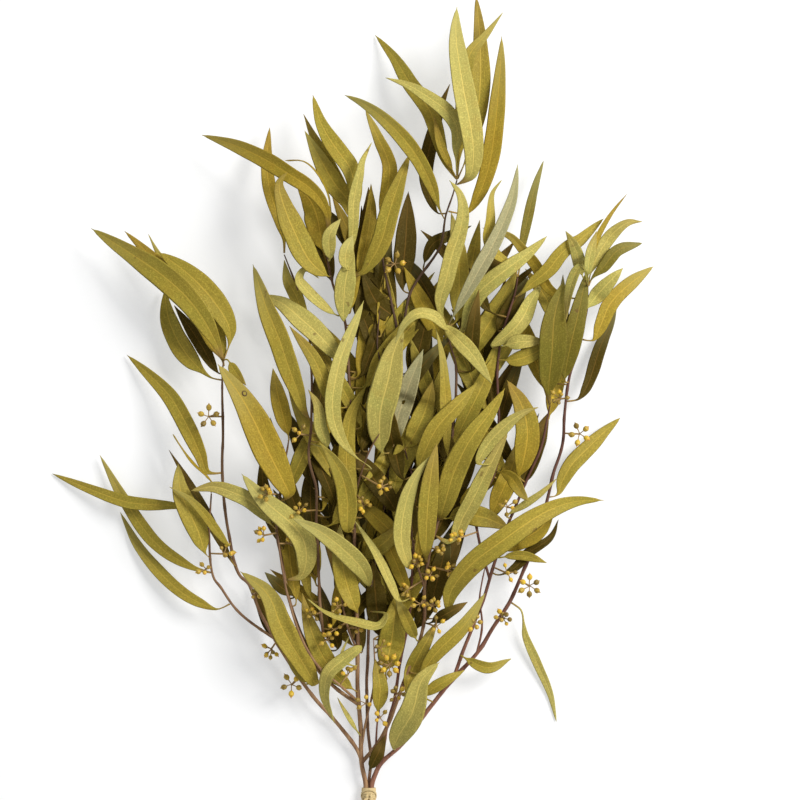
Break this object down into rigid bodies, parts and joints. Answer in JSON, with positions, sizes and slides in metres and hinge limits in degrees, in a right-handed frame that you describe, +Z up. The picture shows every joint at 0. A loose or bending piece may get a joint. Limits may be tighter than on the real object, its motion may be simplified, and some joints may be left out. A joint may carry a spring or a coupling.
{
  "type": "preserved seeded eucalyptus bunch",
  "caption": "Tied bunch of preserved eucalyptus branches with long curved leaves and small bud clusters, lying flat as a decoration.",
  "frame": {"origin": "middle of the underside of the bunch's bounding box, on the surface that it lies on", "axes": "+Y along the bunch from the cut ends to the leaf tips, +Z up off the surface, +X across the bunch"},
  "size_m": [0.4504, 0.6618, 0.062],
  "materials": {
    "leaf_olive": "matt dried leaf, olive green",
    "leaf_light": "matt dried leaf, pale yellow-green",
    "leaf_gold": "matt dried leaf, golden",
    "leaf_dark": "matt dried leaf, dark brown-green",
    "buds": "golden-brown woody buds",
    "bark_brown": "smooth brown bark",
    "bark_red": "smooth reddish bark",
    "bark_dark": "smooth dark brown bark",
    "raffia": "pale raffia fibre"
  },
  "bodies": {
    "root": {"buds_far_left": "buds", "buds_low_left": "buds", "buds_low_middle": "buds", "buds_low_right": "buds", "buds_right": "buds", "buds_upper": "buds", "leaf_left_1": "leaf_olive", "leaf_left_10": "leaf_olive", "leaf_left_11": "leaf_light", "leaf_left_12": "leaf_light", "leaf_left_2": "leaf_gold", "leaf_left_3": "leaf_olive", "leaf_left_4": "leaf_olive", "leaf_left_5": "leaf_gold", "leaf_left_6": "leaf_dark", "leaf_left_7": "leaf_olive", "leaf_left_8": "leaf_olive", "leaf_left_9": "leaf_olive", "leaf_low_1": "leaf_olive", "leaf_low_2": "leaf_light", "leaf_low_3": "leaf_olive", "leaf_low_4": "leaf_light", "leaf_low_5": "leaf_light", "leaf_lower_right_1": "leaf_olive", "leaf_lower_right_2": "leaf_light", "leaf_lower_right_3": "leaf_gold", "leaf_lower_right_4": "leaf_olive", "leaf_lower_right_5": "leaf_light", "leaf_lower_right_6": "leaf_olive", "leaf_lower_right_7": "leaf_olive", "leaf_middle_1": "leaf_olive", "leaf_middle_2": "leaf_light", "leaf_middle_3": "leaf_light", "leaf_middle_4": "leaf_light", "leaf_middle_5": "leaf_olive", "leaf_right_1": "leaf_light", "leaf_right_2": "leaf_light", "leaf_right_3": "leaf_light", "leaf_right_4": "leaf_olive", "leaf_right_5": "leaf_gold", "leaf_right_6": "leaf_dark", "leaf_right_7": "leaf_gold", "leaf_top_1": "leaf_dark", "leaf_top_2": "leaf_olive", "leaf_top_3": "leaf_gold", "leaf_top_4": "leaf_gold", "leaf_top_5": "leaf_light", "leaf_top_6": "leaf_light", "leaf_top_7": "leaf_olive", "leaf_upper_left_1": "leaf_gold", "leaf_upper_left_2": "leaf_gold", "leaf_upper_left_3": "leaf_olive", "leaf_upper_left_4": "leaf_olive", "leaf_upper_left_5": "leaf_gold", "leaf_upper_left_6": "leaf_olive", "leaf_upper_left_7": "leaf_light", "raffia_tie": "raffia", "stem_left": "bark_brown", "stem_middle": "bark_dark", "stem_right": "bark_red"}
  },
  "joints": []
}
